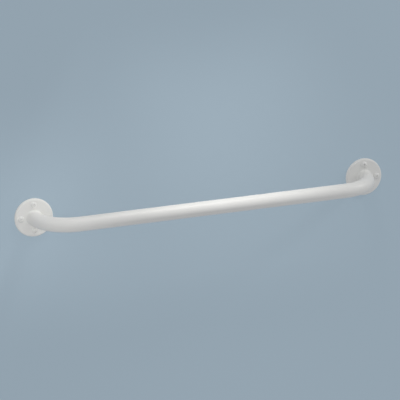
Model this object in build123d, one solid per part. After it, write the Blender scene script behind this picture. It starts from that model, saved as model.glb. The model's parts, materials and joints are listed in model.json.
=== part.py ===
"""Wall-mounted grab bar: a bent steel tube welded into two pressed flanges, with its fixing screws.

Millimetres. The wall is the plane y = 0 and the bar stands out from it towards -Y. X runs along
the bar, Z is up, and the origin is on the wall midway between the centres of the two flanges.
"""

import os
from math import sqrt

from build123d import *

# Bar: one tube, bent through a quarter turn at each end
centre_distance = 610.0  # between the flange centres, a nominal 24 inches
tube_diameter = 25.4  # a nominal 1 inch
tube_wall = 1.2
bend_radius = 63.5  # to the tube's axis, two and a half tube diameters
tube_end_setback = 1.5  # the open ends stop this far short of the wall

# Flanges: round dishes pressed from sheet, with the rim turned back to the wall
flange_diameter = 68.0
flange_depth = 5.0  # from the wall to the flat face
flange_sheet = 2.0
rim_inner_radius = 1.5  # inside the turned corner
tube_hole_clearance = 0.1  # radial gap round the tube, closed by the weld

# Welds: a slightly hollow fillet bead on the front of each flange
weld_leg = 2.5  # along the tube and along the flange
weld_throat = 1.4  # from the corner under the bead to its surface

# Screws: pan heads with a cross recess, three to a flange
screws_per_flange = 3
screw_arc = 180.0  # degrees from the top screw round the outer side to the bottom one
screw_diameter = 5.5  # over the plain neck
thread_diameter = 4.8  # the thread is a plain cylinder of its mean diameter
screw_length = 38.0  # under the head
tip_length = 7.0
neck_past_sheet = 0.5  # the plain neck runs this far through the sheet
hole_clearance = 0.35  # radial gap between a neck and its hole
head_diameter = 10.8
head_height = 3.6
head_edge = 1.3  # height of the head's upright edge, below the dome
head_to_weld = 2.9  # clear land between a head and the weld
recess_span = 5.4
recess_width = 1.2
recess_depth = 1.9
recess_turn = 34.0  # degrees from one screw's recess to the next

# Sizes that follow from these
tube_radius = tube_diameter / 2
end_x = centre_distance / 2
standoff = flange_depth + weld_leg + bend_radius  # each bend starts where its weld ends
screw_circle_radius = tube_radius + weld_leg + head_to_weld + head_diameter / 2


def flange_plane(side):
    """The wall under one flange: local Z points out of the wall, local X away from the bar."""
    return Plane(origin=(side * end_x, 0, 0), x_dir=(side, 0, 0), z_dir=(0, -1, 0))


def turned(outline):
    """A solid of revolution about local Z, from an outline drawn as (radius, height)."""
    return revolve(Plane.XZ * make_face(outline), Axis.Z)


def make_tube():
    route = FilletPolyline(
        (-end_x, -tube_end_setback),
        (-end_x, -standoff),
        (end_x, -standoff),
        (end_x, -tube_end_setback),
        radius=bend_radius,
    )
    section = Circle(tube_radius) - Circle(tube_radius - tube_wall)
    return sweep(Plane(origin=route @ 0, z_dir=route % 0) * section, path=route)


def screw_places():
    """Top, outer side and bottom of a flange. The side under the bar is left clear for the driver."""
    return PolarLocations(screw_circle_radius, screws_per_flange, -screw_arc / 2, screw_arc, endpoint=True)


def make_flange():
    rim_radius = flange_diameter / 2
    hole_radius = tube_radius + tube_hole_clearance
    corner_radius = rim_inner_radius + flange_sheet
    corner = (rim_radius - corner_radius, flange_depth - corner_radius)
    outline = [
        Line((hole_radius, flange_depth), (corner[0], flange_depth)),
        CenterArc(corner, corner_radius, 0, 90),
        Line((rim_radius, corner[1]), (rim_radius, 0)),
        Line((rim_radius, 0), (rim_radius - flange_sheet, 0)),
        Line((rim_radius - flange_sheet, 0), (rim_radius - flange_sheet, corner[1])),
        CenterArc(corner, rim_inner_radius, 0, 90),
        Line((corner[0], flange_depth - flange_sheet), (hole_radius, flange_depth - flange_sheet)),
        Line((hole_radius, flange_depth - flange_sheet), (hole_radius, flange_depth)),
    ]
    screw_hole = Cylinder(screw_diameter / 2 + hole_clearance, 2 * flange_depth)
    return turned(outline) - [place * screw_hole for place in screw_places()]


def make_weld():
    hollow = weld_throat / sqrt(2)
    tube_toe = (tube_radius, flange_depth + weld_leg)
    flange_toe = (tube_radius + weld_leg, flange_depth)
    root = (tube_radius, flange_depth)
    outline = [
        ThreePointArc(tube_toe, (root[0] + hollow, root[1] + hollow), flange_toe),
        Line(flange_toe, root),
        Line(root, tube_toe),
    ]
    return turned(outline)


def make_screw():
    head_radius = head_diameter / 2
    head_top = flange_depth + head_height
    dome_rise = head_height - head_edge
    dome_radius = (head_radius**2 + dome_rise**2) / (2 * dome_rise)
    neck_end = flange_depth - flange_sheet - neck_past_sheet
    point = flange_depth - screw_length
    outline = [
        RadiusArc((0, head_top), (head_radius, flange_depth + head_edge), dome_radius),
        Polyline(
            (head_radius, flange_depth + head_edge),
            (head_radius, flange_depth),
            (screw_diameter / 2, flange_depth),
            (screw_diameter / 2, neck_end),
            (thread_diameter / 2, neck_end),
            (thread_diameter / 2, point + tip_length),
            (0, point),
            (0, head_top),
        ),
    ]
    wing = Box(recess_span, recess_width, 2 * recess_depth)
    recess = Pos(0, 0, head_top) * (wing + Rot(0, 0, 90) * wing)
    return turned(outline) - recess


def make_screws():
    screw = make_screw()
    screws = []
    for side in (-1, 1):
        for place in screw_places():
            turn = Rot(0, 0, recess_turn * len(screws))
            screws.append(flange_plane(side).location * place * turn * screw)
    return Compound(children=screws)


os.makedirs("parts", exist_ok=True)
export_step(make_tube(), "parts/bar_tube.step")
for name, side in (("left", -1), ("right", 1)):
    export_step(flange_plane(side).location * make_flange(), f"parts/{name}_flange.step")
    export_step(flange_plane(side).location * make_weld(), f"parts/{name}_weld.step")
export_step(make_screws(), "parts/fixing_screws.step")
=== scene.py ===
"""Looks of the wall-mounted grab bar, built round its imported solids.

Metres, in the part's own frame: the wall is the plane y = 0, the bar stands out towards -Y,
X runs along the bar and Z is up. A flange's own pieces are drawn as (radius, height), with the
height counted out from the wall.
"""

import json
import math

import bmesh
import bpy
from mathutils import Matrix, Vector


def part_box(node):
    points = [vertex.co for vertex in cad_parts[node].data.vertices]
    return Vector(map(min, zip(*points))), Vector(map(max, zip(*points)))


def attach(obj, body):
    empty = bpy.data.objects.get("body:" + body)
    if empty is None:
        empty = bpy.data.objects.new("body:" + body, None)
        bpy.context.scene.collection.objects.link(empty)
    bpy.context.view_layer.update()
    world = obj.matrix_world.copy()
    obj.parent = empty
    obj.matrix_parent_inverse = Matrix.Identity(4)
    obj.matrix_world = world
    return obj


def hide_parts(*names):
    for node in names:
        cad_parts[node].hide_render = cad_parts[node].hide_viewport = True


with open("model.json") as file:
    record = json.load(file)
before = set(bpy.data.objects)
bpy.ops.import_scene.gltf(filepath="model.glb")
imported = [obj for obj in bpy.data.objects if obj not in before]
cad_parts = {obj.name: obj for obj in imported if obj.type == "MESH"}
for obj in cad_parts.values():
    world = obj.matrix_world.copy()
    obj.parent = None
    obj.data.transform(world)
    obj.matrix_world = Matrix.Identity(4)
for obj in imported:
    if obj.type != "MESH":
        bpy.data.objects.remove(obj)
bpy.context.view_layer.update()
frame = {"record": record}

MM = 0.001
LEFT, RIGHT = -1, 1
OUT_OF_WALL = Vector((0, -1, 0))
UP = Vector((0, 0, 1))

# Sizes that the frame gives
tube_low, tube_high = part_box("bar_tube")
flange_low, flange_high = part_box("right_flange")
weld_low, weld_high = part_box("right_weld")
_, screws_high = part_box("fixing_screws")
mounts = {mount["name"]: mount for mount in frame["record"]["mounts"]}
outer_screw = mounts["right_outer_screw"]
TUBE_RADIUS = (tube_high.z - tube_low.z) / 2
BAR_Y = mounts["hand_grip"]["pos_m"][1]
TUBE_END_Y = tube_high.y
END_X = (flange_low.x + flange_high.x) / 2
FLANGE_RADIUS = (flange_high.z - flange_low.z) / 2
FLANGE_FACE = -flange_low.y
WELD_LEG = weld_high.y - weld_low.y
SCREW_CIRCLE = outer_screw["pos_m"][0] - END_X
THREAD_MEAN_RADIUS = outer_screw["dims"]["r_mm"] * MM
SCREW_POINT = -screws_high.y
HEAD_RADIUS = screws_high.z - SCREW_CIRCLE

# Sizes that it doesn't give
BEND_RADIUS = 63.5 * MM
TUBE_WALL = 1.2 * MM
FLANGE_SHEET = 2.0 * MM
RIM_INNER_RADIUS = 1.5 * MM
RIM_EDGE_ROUND = 0.4 * MM
TUBE_HOLE_CLEARANCE = 0.1 * MM
SCREW_HOLE_RADIUS = 3.1 * MM
SCREW_TURNS = [math.radians(turn) for turn in (-90, 0, 90)]  # round a flange, from its outer side
WELD_FEATHER = 0.5 * MM  # the coat carries the bead's toes this far past it
WELD_COVE = WELD_LEG + WELD_FEATHER
WELD_ROOT = 0.3 * MM  # the bead's hidden underside lies this deep
WELD_RIPPLE = 0.14 * MM
WELD_RIPPLE_SPACING = 2.2 * MM
WELD_RIPPLE_BOW = 2.5  # each ripple bows along the bead by this much of its phase, in radians
WELD_STOP_TURN = math.radians(-65)  # where the bead was closed, from the flange's outer side
WELD_STOP_WIDTH = math.radians(9)
WELD_STOP_RISE = 0.3 * MM
NECK_RADIUS = 2.75 * MM
NECK_PAST_SHEET = 0.5 * MM  # the plain neck runs this far through the sheet
NECK_END = FLANGE_FACE - FLANGE_SHEET - NECK_PAST_SHEET
TIP_LENGTH = 7.0 * MM
THREAD_PITCH = 2.0 * MM
THREAD_CREST = 0.35 * MM  # above and below the mean radius
THREAD_FLANK = 0.33  # half the width of the V at its foot, as a share of the pitch
THREAD_FADE = 0.625  # the thread fades out over this share of the tip, next to the point
HEAD_HEIGHT = 3.6 * MM
HEAD_TOP = FLANGE_FACE + HEAD_HEIGHT
HEAD_EDGE = 1.3 * MM  # height of the upright edge before its shoulder is rounded
HEAD_SHOULDER = 0.6 * MM
RECESS_SPAN = 5.4 * MM
RECESS_WIDTH = 1.2 * MM
RECESS_DEPTH = 1.9 * MM
RECESS_CORE = 0.8 * MM  # from the cross's axis to its inner corners, along each wing
RECESS_TAPER = 0.45  # share of its length that a wing loses from the head's top to the cross's floor
RECESS_TURN = math.radians(34)  # from one screw to the next

# How finely the meshes are cut
TUBE_COLUMNS = 96
BEND_STEPS = 40
STRAIGHT_STEPS = 48
FLANGE_COLUMNS = 192
ARC_STEPS = 8
EDGE_STEPS = 4  # on the small rounds of the rim's edge and the heads' shoulders
DOME_STEPS = 16
WELD_COLUMNS = 320
WELD_STEPS = 14
SCREW_COLUMNS = 48
THREAD_STEPS = 10  # to a turn
JOIN_DISTANCE = 0.002 * MM  # points nearer than this become one
SHARP_ANGLE = math.radians(35)  # an edge that turns more than this stays sharp
TWIST_LIMIT = math.radians(0.5)  # a face that is twisted more than this is split


# Materials
def linear(hex_colour):
    """An sRGB hex colour as linear RGBA."""
    channels = [int(hex_colour[i:i + 2], 16) / 255 for i in (1, 3, 5)]
    return [c / 12.92 if c <= 0.04045 else ((c + 0.055) / 1.055) ** 2.4 for c in channels] + [1.0]


def add_node(tree, kind, settings=None, links=None):
    """A node with its settings, inputs by name or number, and links from other nodes' outputs."""
    node = tree.nodes.new(kind)
    for key, value in (settings or {}).items():
        if isinstance(key, int) or key in node.inputs:
            node.inputs[key].default_value = value
        else:
            setattr(node, key, value)
    for key, source in (links or {}).items():
        tree.links.new(source, node.inputs[key])
    return node


def new_material(name):
    """A material and its empty node tree."""
    material = bpy.data.materials.new(name)
    material.use_nodes = True
    material.node_tree.nodes.clear()
    return material, material.node_tree


def powder_coat():
    """Polyester powder baked on steel: a satin white with a soft orange peel.

    The eye sees an even white with faint clouds where the coat lies thicker, highlights whose
    edges waver, and here and there a grain of dust under the skin.
    """
    cloud_size = 45 * MM
    gloss_patch = 14 * MM
    noise_low, noise_high = 0.3, 0.7  # nearly all of the noise lies between these
    roughness_low, roughness_high = 0.36, 0.46
    peel_size = 2.6 * MM
    peel_depth = 0.04 * MM
    grain_spacing = 17 * MM
    grain_radius = 0.5 * MM
    grain_height = 2.0  # in depths of the peel
    resin_ior = 1.5
    material, tree = new_material("white_powder_coat_satin")
    place = add_node(tree, "ShaderNodeTexCoord").outputs["Object"]
    clouds = add_node(tree, "ShaderNodeTexNoise", {"Scale": 1 / cloud_size, "Detail": 3.0}, {"Vector": place})
    tint = add_node(tree, "ShaderNodeMix", {
        "data_type": "RGBA", 6: linear("#ECECE8"), 7: linear("#F3F3F0"),
    }, {"Factor": clouds.outputs["Fac"]})
    patches = add_node(tree, "ShaderNodeTexNoise", {"Scale": 1 / gloss_patch}, {"Vector": place})
    gloss = add_node(tree, "ShaderNodeMapRange", {
        "From Min": noise_low, "From Max": noise_high, "To Min": roughness_low, "To Max": roughness_high,
    }, {"Value": patches.outputs["Fac"]})
    peel = add_node(tree, "ShaderNodeTexNoise", {"Scale": 1 / peel_size, "Detail": 1.0}, {"Vector": place})
    grains = add_node(tree, "ShaderNodeTexVoronoi", {"Scale": 1 / grain_spacing}, {"Vector": place})
    grain = add_node(tree, "ShaderNodeMapRange", {
        "interpolation_type": "SMOOTHSTEP",
        "From Max": grain_radius / grain_spacing, "To Min": grain_height, "To Max": 0.0,
    }, {"Value": grains.outputs["Distance"]})
    skin_height = add_node(tree, "ShaderNodeMath", {"operation": "ADD"}, {
        0: peel.outputs["Fac"], 1: grain.outputs["Result"],
    })
    bump = add_node(tree, "ShaderNodeBump", {"Distance": peel_depth}, {"Height": skin_height.outputs[0]})
    shader = add_node(tree, "ShaderNodeBsdfPrincipled", {"IOR": resin_ior}, {
        "Base Color": tint.outputs[2],
        "Roughness": gloss.outputs["Result"],
        "Normal": bump.outputs["Normal"],
    })
    add_node(tree, "ShaderNodeOutputMaterial", None, {"Surface": shader.outputs["BSDF"]})
    return material


def bare_tube_steel():
    """Drawn mild steel, left bare inside the tube.

    The eye sees dull grey metal with draw lines along the tube, and a white mist of powder that
    blew in at the open ends.
    """
    line_width = 0.7 * MM
    line_length = 40 * MM  # along Y, as the tube runs at its open ends
    line_depth = 0.02 * MM
    mist_patch = 5 * MM
    mist_depth = 16 * MM
    roughness = 0.5
    material, tree = new_material("drawn_mild_steel_bare")
    place = add_node(tree, "ShaderNodeTexCoord").outputs["Object"]
    stretched = add_node(tree, "ShaderNodeMapping", {
        "Scale": (1 / line_width, 1 / line_length, 1 / line_width),
    }, {"Vector": place})
    lines = add_node(tree, "ShaderNodeTexNoise", {"Scale": 1.0, "Detail": 2.0}, {
        "Vector": stretched.outputs[0],
    })
    steel = add_node(tree, "ShaderNodeMix", {
        "data_type": "RGBA", 6: linear("#66625D"), 7: linear("#8C8883"),
    }, {"Factor": lines.outputs["Fac"]})
    depth = add_node(tree, "ShaderNodeSeparateXYZ", None, {"Vector": place})
    patches = add_node(tree, "ShaderNodeTexNoise", {"Scale": 1 / mist_patch, "Detail": 3.0}, {
        "Vector": place,
    })
    ragged = add_node(tree, "ShaderNodeMath", {"operation": "MULTIPLY_ADD", 1: mist_depth}, {
        0: patches.outputs["Fac"], 2: depth.outputs["Y"],
    })
    mist = add_node(tree, "ShaderNodeMapRange", {
        "From Min": TUBE_END_Y - mist_depth / 2, "From Max": TUBE_END_Y + mist_depth / 2,
    }, {"Value": ragged.outputs[0]})
    colour = add_node(tree, "ShaderNodeMix", {"data_type": "RGBA", 7: linear("#E8E8E4")}, {
        "Factor": mist.outputs["Result"], 6: steel.outputs[2],
    })
    metal = add_node(tree, "ShaderNodeMath", {"operation": "SUBTRACT", 0: 1.0}, {1: mist.outputs["Result"]})
    bump = add_node(tree, "ShaderNodeBump", {"Distance": line_depth}, {"Height": lines.outputs["Fac"]})
    shader = add_node(tree, "ShaderNodeBsdfPrincipled", {"Roughness": roughness}, {
        "Base Color": colour.outputs[2],
        "Metallic": metal.outputs[0],
        "Normal": bump.outputs["Normal"],
    })
    add_node(tree, "ShaderNodeOutputMaterial", None, {"Surface": shader.outputs["BSDF"]})
    return material


def screw_enamel():
    """Stoved enamel over zinc on the screw heads.

    The eye sees a white a little glossier than the bar, with bare zinc in the cross where the
    driver has chipped it.
    """
    chip_size = 0.5 * MM
    chip_margin = 0.25 * MM  # past the ends of the cross
    chip_reach = RECESS_SPAN / 2 + chip_margin
    chip_fade = 0.6 * MM
    chip_depth = 1.2 * MM  # from the head's top to where the chips lie thickest
    chips_on_top, chips_below = 0.25, 0.32  # the enamel is gone where its noise is under these
    wave_size = 2.0 * MM
    wave_depth = 0.02 * MM
    roughness_low, roughness_high = 0.22, 0.34
    material, tree = new_material("white_stoved_enamel_on_zinc")
    place = add_node(tree, "ShaderNodeTexCoord").outputs["Object"]
    flat = add_node(tree, "ShaderNodeVectorMath", {"operation": "MULTIPLY", 1: (1.0, 1.0, 0.0)}, {0: place})
    radius = add_node(tree, "ShaderNodeVectorMath", {"operation": "LENGTH"}, {0: flat.outputs[0]})
    near_cross = add_node(tree, "ShaderNodeMapRange", {
        "From Min": chip_reach - chip_fade, "From Max": chip_reach, "To Min": 1.0, "To Max": 0.0,
    }, {"Value": radius.outputs["Value"]})
    height = add_node(tree, "ShaderNodeSeparateXYZ", None, {"Vector": place})
    in_cross = add_node(tree, "ShaderNodeMapRange", {
        "From Min": HEAD_TOP - chip_depth, "From Max": HEAD_TOP,
        "To Min": chips_below, "To Max": chips_on_top,
    }, {"Value": height.outputs["Z"]})
    flakes = add_node(tree, "ShaderNodeTexNoise", {"Scale": 1 / chip_size, "Detail": 2.0}, {"Vector": place})
    exposed = add_node(tree, "ShaderNodeMath", {"operation": "LESS_THAN"}, {
        0: flakes.outputs["Fac"], 1: in_cross.outputs["Result"],
    })
    chips = add_node(tree, "ShaderNodeMath", {"operation": "MULTIPLY"}, {
        0: exposed.outputs[0], 1: near_cross.outputs["Result"],
    })
    colour = add_node(tree, "ShaderNodeMix", {
        "data_type": "RGBA", 6: linear("#F1F1EE"), 7: linear("#B9BDC0"),
    }, {"Factor": chips.outputs[0]})
    waves = add_node(tree, "ShaderNodeTexNoise", {"Scale": 1 / wave_size}, {"Vector": place})
    gloss = add_node(tree, "ShaderNodeMapRange", {"To Min": roughness_low, "To Max": roughness_high}, {
        "Value": waves.outputs["Fac"],
    })
    bump = add_node(tree, "ShaderNodeBump", {"Distance": wave_depth}, {"Height": waves.outputs["Fac"]})
    shader = add_node(tree, "ShaderNodeBsdfPrincipled", None, {
        "Base Color": colour.outputs[2],
        "Metallic": chips.outputs[0],
        "Roughness": gloss.outputs["Result"],
        "Normal": bump.outputs["Normal"],
    })
    add_node(tree, "ShaderNodeOutputMaterial", None, {"Surface": shader.outputs["BSDF"]})
    return material


def zinc_plate():
    """Zinc plate on the screw threads, brightened and blue passivated.

    The eye sees a light bluish metal with a straw tint in places and a slightly uneven shine.
    """
    tint_patch = 3.0 * MM
    shine_patch = 0.8 * MM
    roughness_low, roughness_high = 0.22, 0.42
    material, tree = new_material("zinc_plated_steel_blue_passivated")
    place = add_node(tree, "ShaderNodeTexCoord").outputs["Object"]
    patches = add_node(tree, "ShaderNodeTexNoise", {"Scale": 1 / tint_patch, "Detail": 2.0}, {
        "Vector": place,
    })
    colour = add_node(tree, "ShaderNodeMix", {
        "data_type": "RGBA", 6: linear("#BCC4CB"), 7: linear("#CDCBC0"),
    }, {"Factor": patches.outputs["Fac"]})
    specks = add_node(tree, "ShaderNodeTexNoise", {"Scale": 1 / shine_patch}, {"Vector": place})
    gloss = add_node(tree, "ShaderNodeMapRange", {"To Min": roughness_low, "To Max": roughness_high}, {
        "Value": specks.outputs["Fac"],
    })
    shader = add_node(tree, "ShaderNodeBsdfPrincipled", {"Metallic": 1.0}, {
        "Base Color": colour.outputs[2],
        "Roughness": gloss.outputs["Result"],
    })
    add_node(tree, "ShaderNodeOutputMaterial", None, {"Surface": shader.outputs["BSDF"]})
    return material


def seeing_rays(tree):
    """1 for the rays that show the stage, which are the camera's and those of gloss and glass, or 0."""
    ray = add_node(tree, "ShaderNodeLightPath")
    seen_or_mirrored = add_node(tree, "ShaderNodeMath", {"operation": "MAXIMUM"}, {
        0: ray.outputs["Is Camera Ray"], 1: ray.outputs["Is Glossy Ray"],
    })
    any_of_them = add_node(tree, "ShaderNodeMath", {"operation": "MAXIMUM"}, {
        0: seen_or_mirrored.outputs[0], 1: ray.outputs["Is Transmission Ray"],
    })
    return any_of_them.outputs[0]


def stage_paint(name, colour, glow):
    """Matt paint that only the seeing rays meet, from its front.

    Part of its light is its own, at the level glow, so that it looks even and still takes shadows.
    """
    glow_share = 0.6
    material, tree = new_material(name)
    matt = add_node(tree, "ShaderNodeBsdfDiffuse", {"Color": linear(colour)})
    even = add_node(tree, "ShaderNodeEmission", {"Color": linear(colour), "Strength": glow})
    paint = add_node(tree, "ShaderNodeMixShader", {0: glow_share}, {1: matt.outputs[0], 2: even.outputs[0]})
    clear = add_node(tree, "ShaderNodeBsdfTransparent")
    side = add_node(tree, "ShaderNodeNewGeometry")
    shown = add_node(tree, "ShaderNodeMath", {"operation": "SUBTRACT", "use_clamp": True}, {
        0: seeing_rays(tree), 1: side.outputs["Backfacing"],
    })
    mix = add_node(tree, "ShaderNodeMixShader", None, {
        0: shown.outputs[0], 1: clear.outputs[0], 2: paint.outputs[0],
    })
    add_node(tree, "ShaderNodeOutputMaterial", None, {"Surface": mix.outputs[0]})
    return material


# Mesh helpers
def arc(centre, radius, start, end, steps=ARC_STEPS):
    """Points (radius, height) on an arc, with its angles in degrees."""
    angles = [math.radians(start + (end - start) * i / steps) for i in range(steps + 1)]
    return [(centre[0] + radius * math.cos(a), centre[1] + radius * math.sin(a)) for a in angles]


def ring(centre, across, up, radius, columns):
    """A circle of points; radius is a number, or a function of the angle."""
    points = []
    for column in range(columns):
        angle = math.tau * column / columns
        reach = radius(angle) if callable(radius) else radius
        points.append(centre + reach * (math.cos(angle) * across + math.sin(angle) * up))
    return points


def skin(name, rings, materials, loop=False, marks=None):
    """A mesh of quads between rings.

    loop joins the last ring to the first, and marks gives the number of each row's material.
    """
    columns = len(rings[0])
    points = [point for points in rings for point in points]
    faces = []
    rows = len(rings) if loop else len(rings) - 1
    for row in range(rows):
        here = row * columns
        there = (row + 1) % len(rings) * columns
        for column in range(columns):
            after = (column + 1) % columns
            faces.append((here + column, here + after, there + after, there + column))
    mesh = bpy.data.meshes.new(name)
    mesh.from_pydata(points, [], faces)
    for material in materials:
        mesh.materials.append(material)
    if marks:
        face_marks = [marks[row] for row in range(rows) for _ in range(columns)]
        mesh.polygons.foreach_set("material_index", face_marks)
    return mesh


def tidy(mesh):
    """Joins doubled points, turns the faces outward and shades smoothly between sharp edges."""
    build = bmesh.new()
    build.from_mesh(mesh)
    bmesh.ops.remove_doubles(build, verts=build.verts, dist=JOIN_DISTANCE)
    bmesh.ops.recalc_face_normals(build, faces=build.faces)
    build.to_mesh(mesh)
    build.free()
    mesh.shade_smooth()
    mesh.set_sharp_from_angle(angle=SHARP_ANGLE)
    return mesh


def close_ends(mesh):
    """Caps the open rings of a mesh, splits its twisted faces into flat ones and turns them all outward."""
    build = bmesh.new()
    build.from_mesh(mesh)
    bmesh.ops.holes_fill(build, edges=build.edges)
    bmesh.ops.connect_verts_nonplanar(build, angle_limit=TWIST_LIMIT, faces=build.faces)
    bmesh.ops.recalc_face_normals(build, faces=build.faces)
    build.to_mesh(mesh)
    build.free()


def carved(mesh, cutters):
    """The mesh with each cutter mesh taken out of it."""
    block = bpy.data.objects.new("block", mesh)
    bpy.context.scene.collection.objects.link(block)
    tools = []
    for cutter in cutters:
        tool = bpy.data.objects.new("tool", cutter)
        bpy.context.scene.collection.objects.link(tool)
        cut = block.modifiers.new("cut", "BOOLEAN")
        cut.operation = "DIFFERENCE"
        cut.solver = "EXACT"
        cut.object = tool
        tools.append(tool)
    cut_block = block.evaluated_get(bpy.context.evaluated_depsgraph_get())
    result = bpy.data.meshes.new_from_object(cut_block)
    for spare in [block] + tools:
        bpy.data.objects.remove(spare)
    return result


def add_piece(name, mesh, node, place=None):
    """A finished mesh as a piece of the bar, in place of a CAD node, on the bar's one body."""
    mesh.name = name
    piece = bpy.data.objects.new(name, mesh)
    bpy.context.scene.collection.objects.link(piece)
    if place:
        piece.matrix_world = place
    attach(piece, "root")
    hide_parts(node)


# Tube
def tube_route():
    """Points along the tube's axis, each with the direction across it, from the left end to the right."""
    corner_x = END_X - BEND_RADIUS
    corner_y = BAR_Y + BEND_RADIUS
    left_bend = []
    for step in range(BEND_STEPS + 1):
        turn = math.radians(90) * step / BEND_STEPS
        across = Vector((-math.cos(turn), -math.sin(turn), 0))
        left_bend.append((Vector((-corner_x, corner_y, 0)) + BEND_RADIUS * across, across))
    left_leg = [(Vector((-END_X, TUBE_END_Y, 0)), Vector((-1, 0, 0)))]
    left = left_leg + left_bend
    right = [(Vector((-p.x, p.y, 0)), Vector((-a.x, a.y, 0))) for p, a in reversed(left)]
    shares = [step / STRAIGHT_STEPS for step in range(1, STRAIGHT_STEPS)]
    middle = [(Vector((corner_x * (2 * share - 1), BAR_Y, 0)), OUT_OF_WALL) for share in shares]
    return left + middle + right


def make_tube():
    """The bent tube, coated outside and over the lips of its ends, and bare inside."""
    route = tube_route()
    outside = [ring(p, a, UP, TUBE_RADIUS, TUBE_COLUMNS) for p, a in route]
    inside = [ring(p, a, UP, TUBE_RADIUS - TUBE_WALL, TUBE_COLUMNS) for p, a in reversed(route)]
    marks = [0] * len(outside) + [1] * (len(inside) - 1) + [0]
    mesh = tidy(skin("tube", outside + inside, [COAT, BARE_STEEL], loop=True, marks=marks))
    add_piece("tube", mesh, "bar_tube")


# Flanges, their welds and screws
def turned(side, outline, columns):
    """Rings about a flange's axis for points (radius, height); a radius may be a function of the angle."""
    foot = Vector((side * END_X, 0, 0))
    across = Vector((side, 0, 0))
    return [ring(foot + height * OUT_OF_WALL, across, UP, radius, columns) for radius, height in outline]


def screw_foot(side, turn):
    """The point on the wall under a screw."""
    return Vector((side * (END_X + SCREW_CIRCLE * math.cos(turn)), 0, SCREW_CIRCLE * math.sin(turn)))


def make_flange(side, name):
    """A dish pressed from sheet, with its rim turned back to the wall and a hole for each screw."""
    corner_radius = RIM_INNER_RADIUS + FLANGE_SHEET
    corner = (FLANGE_RADIUS - corner_radius, FLANGE_FACE - corner_radius)
    hole_radius = TUBE_RADIUS + TUBE_HOLE_CLEARANCE
    outer_edge = (FLANGE_RADIUS - RIM_EDGE_ROUND, RIM_EDGE_ROUND)
    inner_edge = (FLANGE_RADIUS - FLANGE_SHEET + RIM_EDGE_ROUND, RIM_EDGE_ROUND)
    outline = [(hole_radius, FLANGE_FACE)]
    outline += arc(corner, corner_radius, 90, 0)
    outline += arc(outer_edge, RIM_EDGE_ROUND, 0, -90, EDGE_STEPS)
    outline += arc(inner_edge, RIM_EDGE_ROUND, -90, -180, EDGE_STEPS)
    outline += arc(corner, RIM_INNER_RADIUS, 0, 90)
    outline += [(hole_radius, FLANGE_FACE - FLANGE_SHEET)]
    dish = tidy(skin(name, turned(side, outline, FLANGE_COLUMNS), [COAT], loop=True))
    # Half a column's turn keeps the drills' points off the dish's own
    half_column = Matrix.Rotation(math.pi / SCREW_COLUMNS, 3, "Y")
    across = half_column @ Vector((1, 0, 0))
    up = half_column @ UP
    drills = []
    for turn in SCREW_TURNS:
        foot = screw_foot(side, turn)
        ends = [foot, foot + 2 * FLANGE_FACE * OUT_OF_WALL]
        rings = [ring(end, across, up, SCREW_HOLE_RADIUS, SCREW_COLUMNS) for end in ends]
        drill = skin("drill", rings, [COAT])
        close_ends(drill)
        drills.append(drill)
    add_piece(name + "_dish", tidy(carved(dish, drills)), name)


def bead_radius(share):
    """The bead's radius about the tube's axis, as a function of the angle.

    share runs from 0 at the bead's toe on the tube to 1 at its toe on the flange.
    """
    slope = math.cos(math.radians(180 + 90 * share))
    swell = math.sin(math.pi * share)
    ripples = round(math.tau * (TUBE_RADIUS + WELD_LEG / 2) / WELD_RIPPLE_SPACING)

    def at(turn):
        wave = 0.5 + 0.5 * math.cos(ripples * turn + WELD_RIPPLE_BOW * swell)
        away = math.remainder(turn - WELD_STOP_TURN, math.tau) / WELD_STOP_WIDTH
        rise = WELD_RIPPLE * wave + WELD_STOP_RISE * math.exp(-away**2)
        return TUBE_RADIUS + WELD_COVE + (WELD_COVE - rise * swell) * slope

    return at


def make_weld(side, name, node):
    """A hollow bead whose toes run out flush on the tube and the flange, with soft ripples along it."""
    toe_radius = TUBE_RADIUS + WELD_COVE
    toe_height = FLANGE_FACE + WELD_COVE
    outline = []
    for step in range(WELD_STEPS + 1):
        share = step / WELD_STEPS
        outline.append((bead_radius(share), toe_height - WELD_COVE * math.sin(math.radians(90 * share))))
    outline += [
        (toe_radius, FLANGE_FACE - WELD_ROOT),
        (TUBE_RADIUS - WELD_ROOT, FLANGE_FACE - WELD_ROOT),
        (TUBE_RADIUS - WELD_ROOT, toe_height),
    ]
    mesh = tidy(skin(name, turned(side, outline, WELD_COLUMNS), [COAT], loop=True))
    add_piece(name, mesh, node)


def head_outline():
    """A pan head and its plain neck: a dome, a rounded shoulder, an upright edge and a flat underside."""
    dome_rise = HEAD_HEIGHT - HEAD_EDGE
    dome_radius = (HEAD_RADIUS**2 + dome_rise**2) / (2 * dome_rise)
    dome_centre = HEAD_TOP - dome_radius
    shoulder_x = HEAD_RADIUS - HEAD_SHOULDER
    shoulder_rise = math.sqrt((dome_radius - HEAD_SHOULDER)**2 - shoulder_x**2)
    turn_over = math.degrees(math.atan2(shoulder_rise, shoulder_x))
    outline = arc((0, dome_centre), dome_radius, 90, turn_over, DOME_STEPS)
    outline += arc((shoulder_x, dome_centre + shoulder_rise), HEAD_SHOULDER, turn_over, 0, EDGE_STEPS)
    outline += [(HEAD_RADIUS, FLANGE_FACE), (NECK_RADIUS, FLANGE_FACE), (NECK_RADIUS, NECK_END)]
    return outline


def thread_radius(height):
    """The screw's radius round its axis at one height: a V thread on a core that tapers to the point."""
    taper = min(1.0, (height - SCREW_POINT) / TIP_LENGTH)
    run_in = min(1.0, (NECK_END - height) / THREAD_PITCH)
    core = (THREAD_MEAN_RADIUS - THREAD_CREST) * taper
    depth = 2 * THREAD_CREST * run_in * min(1.0, taper / THREAD_FADE)

    def at(turn):
        phase = (height / THREAD_PITCH + turn / math.tau) % 1.0
        return core + depth * max(0.0, 1.0 - abs(phase - 0.5) / THREAD_FLANK)

    return at


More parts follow.
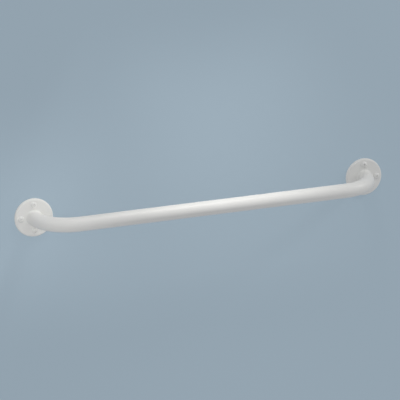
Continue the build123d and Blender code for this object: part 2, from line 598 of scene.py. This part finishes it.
def cross_recess():
    """The driver's cross, as a tapered plug to take out of a screw head."""
    half = RECESS_WIDTH / 2
    ends = [(HEAD_TOP + RECESS_DEPTH, 1 + RECESS_TAPER), (HEAD_TOP - RECESS_DEPTH, 1 - RECESS_TAPER)]
    rings = []
    for height, spread in ends:
        tip = spread * RECESS_SPAN / 2
        core = max(half, spread * RECESS_CORE)
        points = []
        for quarter in range(4):
            turn = Matrix.Rotation(quarter * math.radians(90), 3, "Z")
            points += [turn @ Vector((x, y, height)) for x, y in ((tip, -half), (tip, half), (core, core))]
        rings.append(points)
    plug = skin("recess", rings, [ENAMEL])
    close_ends(plug)
    return plug


def make_screws():
    """Six like screws, each driven home with its cross at an angle of its own."""
    outline = head_outline()
    head_rows = len(outline)
    steps = round((NECK_END - SCREW_POINT) / THREAD_PITCH * THREAD_STEPS)
    for step in range(1, steps):
        height = NECK_END + (SCREW_POINT - NECK_END) * step / steps
        outline.append((thread_radius(height), height))
    outline.append((0.0, SCREW_POINT))
    across, along, axis = Vector((1, 0, 0)), Vector((0, 1, 0)), Vector((0, 0, 1))
    rings = [ring(height * axis, across, along, radius, SCREW_COLUMNS) for radius, height in outline]
    # Enamel down to the head's flat underside, zinc from the neck on
    marks = [0] * (head_rows - 2) + [1] * (len(rings) - head_rows + 1)
    blank = tidy(skin("screw", rings, [ENAMEL, ZINC], marks=marks))
    screw = tidy(carved(blank, [cross_recess()]))
    stand = OUT_OF_WALL.to_track_quat("Z", "Y").to_matrix().to_4x4()
    count = 0
    for side, flange in ((LEFT, "left"), (RIGHT, "right")):
        for turn in SCREW_TURNS:
            spin = Matrix.Rotation(RECESS_TURN * count, 4, "Z")
            place = Matrix.Translation(screw_foot(side, turn)) @ stand @ spin
            count += 1
            add_piece(f"{flange}_screw_{count}", screw.copy(), "fixing_screws", place)


COAT = powder_coat()
BARE_STEEL = bare_tube_steel()
ENAMEL = screw_enamel()
ZINC = zinc_plate()
make_tube()
make_flange(LEFT, "left_flange")
make_flange(RIGHT, "right_flange")
make_weld(LEFT, "left_bead", "left_weld")
make_weld(RIGHT, "right_bead", "right_weld")
make_screws()

# Stage: a plain pale wall behind the flanges and a pale floor below
STAGE_HALF = 8.0
WALL_GAP = 0.3 * MM  # keeps the wall clear of the flanges' edges
FLOOR_Z = -0.9
WALL_COLOUR = "#BCD0DE"
WALL_GLOW = 0.65
FLOOR_COLOUR = "#F0F3F5"
FLOOR_GLOW = 0.9


def stage_sheet(name, corners, material):
    """A flat sheet that isn't part of the bar."""
    mesh = bpy.data.meshes.new(name)
    mesh.from_pydata(corners, [], [(0, 1, 2, 3)])
    mesh.materials.append(material)
    sheet = bpy.data.objects.new(name, mesh)
    bpy.context.scene.collection.objects.link(sheet)


stage_sheet("wall", [
    (-STAGE_HALF, WALL_GAP, FLOOR_Z),
    (STAGE_HALF, WALL_GAP, FLOOR_Z),
    (STAGE_HALF, WALL_GAP, STAGE_HALF),
    (-STAGE_HALF, WALL_GAP, STAGE_HALF),
], stage_paint("wall_paint", WALL_COLOUR, WALL_GLOW))
stage_sheet("floor", [
    (-STAGE_HALF, -STAGE_HALF, FLOOR_Z),
    (STAGE_HALF, -STAGE_HALF, FLOOR_Z),
    (STAGE_HALF, STAGE_HALF, FLOOR_Z),
    (-STAGE_HALF, STAGE_HALF, FLOOR_Z),
], stage_paint("floor_paint", FLOOR_COLOUR, FLOOR_GLOW))

# Light: a soft surround, a key at the upper right, a strip over the middle and two small lamps at the left
SURROUND_COLOUR = "#F4F5F9"
SURROUND_LEVEL = 0.493
BACKDROP_COLOUR = "#C9D3DA"
LAMP_COLOUR = "#FFFDFA"
world = bpy.data.worlds.new("soft_studio")
world.use_nodes = True
world.node_tree.nodes.clear()
bpy.context.scene.world = world
surround = add_node(world.node_tree, "ShaderNodeBackground", {
    "Color": linear(SURROUND_COLOUR), "Strength": SURROUND_LEVEL,
})
backdrop = add_node(world.node_tree, "ShaderNodeBackground", {"Color": linear(BACKDROP_COLOUR)})
mixed = add_node(world.node_tree, "ShaderNodeMixShader", None, {
    0: seeing_rays(world.node_tree), 1: surround.outputs[0], 2: backdrop.outputs[0],
})
add_node(world.node_tree, "ShaderNodeOutputWorld", None, {"Surface": mixed.outputs[0]})


def add_softbox(name, place, target, width, height, watts, spread=180):
    """A rectangular lamp that faces its target; spread is the whole angle of its beam, in degrees."""
    lamp_data = bpy.data.lights.new(name, "AREA")
    lamp_data.shape = "RECTANGLE"
    lamp_data.size = width
    lamp_data.size_y = height
    lamp_data.energy = watts
    lamp_data.color = linear(LAMP_COLOUR)[:3]
    lamp_data.spread = math.radians(spread)
    lamp = bpy.data.objects.new(name, lamp_data)
    lamp.location = place
    lamp.rotation_euler = (Vector(target) - lamp.location).to_track_quat("-Z", "Y").to_euler()
    bpy.context.scene.collection.objects.link(lamp)


add_softbox(
    "upper_right_key", place=(1.5, -0.45, 0.9), target=(0, BAR_Y, 0),
    width=0.4, height=0.2, watts=4.03,
)
add_softbox(
    "overhead_strip", place=(0.02, -0.21, 0.5), target=(0.02, BAR_Y, 0),
    width=0.35, height=0.1, watts=0.204, spread=60,
)
add_softbox(
    "left_front_grid", place=(-0.675, -1.09, 0.345), target=(-END_X - 0.02, 0, 0),
    width=0.25, height=0.25, watts=0.0368, spread=12,
)
add_softbox(
    "left_top_grid", place=(-0.05, -0.15, 0.55), target=(-END_X - 0.005, -0.01, 0),
    width=0.12, height=0.12, watts=0.0093, spread=10,
)

# Camera at the photograph's viewing angle
CAMERA_AIM = Vector((-15.35, -35.5, 5.04)) * MM
CAMERA_AZIMUTH = math.radians(-17.84)
CAMERA_ELEVATION = math.radians(16.72)
CAMERA_ROLL = math.radians(1.78)
CAMERA_DISTANCE = 4055.4 * MM
LENS_IN_MM = 209.86
SENSOR_IN_MM = 36.0
camera_data = bpy.data.cameras.new("camera")
camera_data.lens = LENS_IN_MM
camera_data.sensor_width = SENSOR_IN_MM
camera = bpy.data.objects.new("camera", camera_data)
back = Vector((
    math.sin(CAMERA_AZIMUTH) * math.cos(CAMERA_ELEVATION),
    -math.cos(CAMERA_AZIMUTH) * math.cos(CAMERA_ELEVATION),
    math.sin(CAMERA_ELEVATION),
))
upright = (-back).to_track_quat("-Z", "Y").to_matrix()
rolled = upright @ Matrix.Rotation(-CAMERA_ROLL, 3, "Z")
camera.matrix_world = Matrix.Translation(CAMERA_AIM + back * CAMERA_DISTANCE) @ rolled.to_4x4()
bpy.context.scene.collection.objects.link(camera)
bpy.context.scene.camera = camera
bpy.context.scene.view_settings.view_transform = "Standard"
